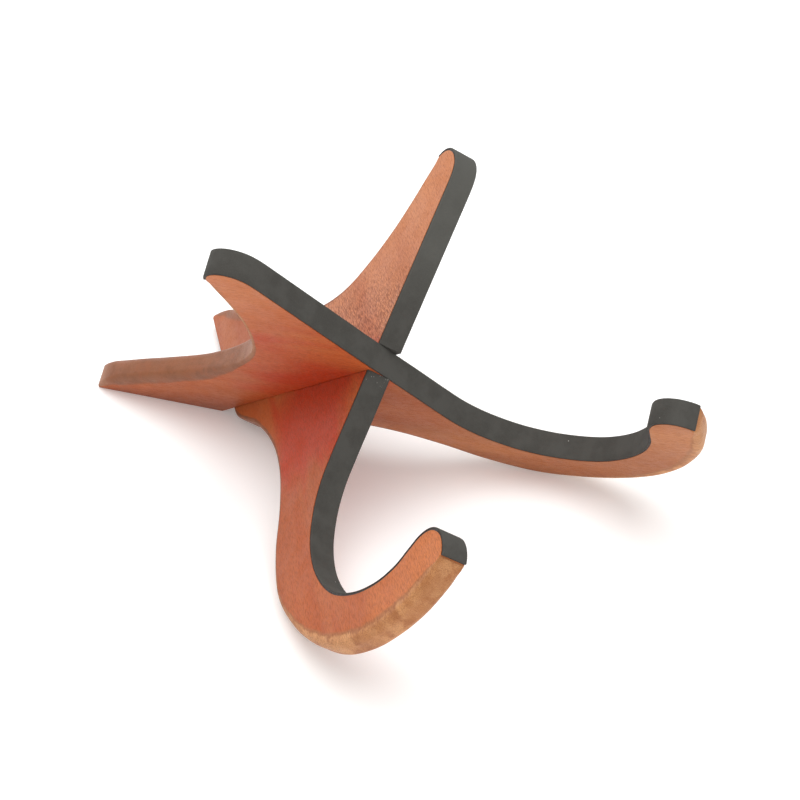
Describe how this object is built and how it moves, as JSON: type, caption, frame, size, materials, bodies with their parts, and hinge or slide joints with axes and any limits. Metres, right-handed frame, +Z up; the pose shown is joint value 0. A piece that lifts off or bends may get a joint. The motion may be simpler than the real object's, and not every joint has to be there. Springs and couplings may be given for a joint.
{
  "type": "instrument stand",
  "caption": "Slot-together wooden stand: crossed curved planks hold a small string instrument in foam-lined hooks and against padded arms, and slide apart to pack flat",
  "frame": {"origin": "on the floor, under the centre of the bounding box", "axes": "+Z up, the instrument's side faces -Y, the planks' crossing axis lies in the plane x = 0"},
  "size_m": [0.2004, 0.291, 0.1531],
  "materials": {
    "wood": "oiled red-brown hardwood, satin",
    "foam": "matte dark grey closed-cell foam strip"
  },
  "bodies": {
    "plank_b_body": {"plank_b": "wood", "pad_b_upper": "foam", "pad_b_lower": "foam"},
    "plank_a_body": {"plank_a": "wood", "pad_a": "foam"}
  },
  "joints": [
    {"name": "plank_a_slide", "type": "slide", "parent": "plank_b_body", "child": "plank_a_body", "axis": [0, -0.7948, 0.6069], "range_m": [0, 0.068]}
  ]
}
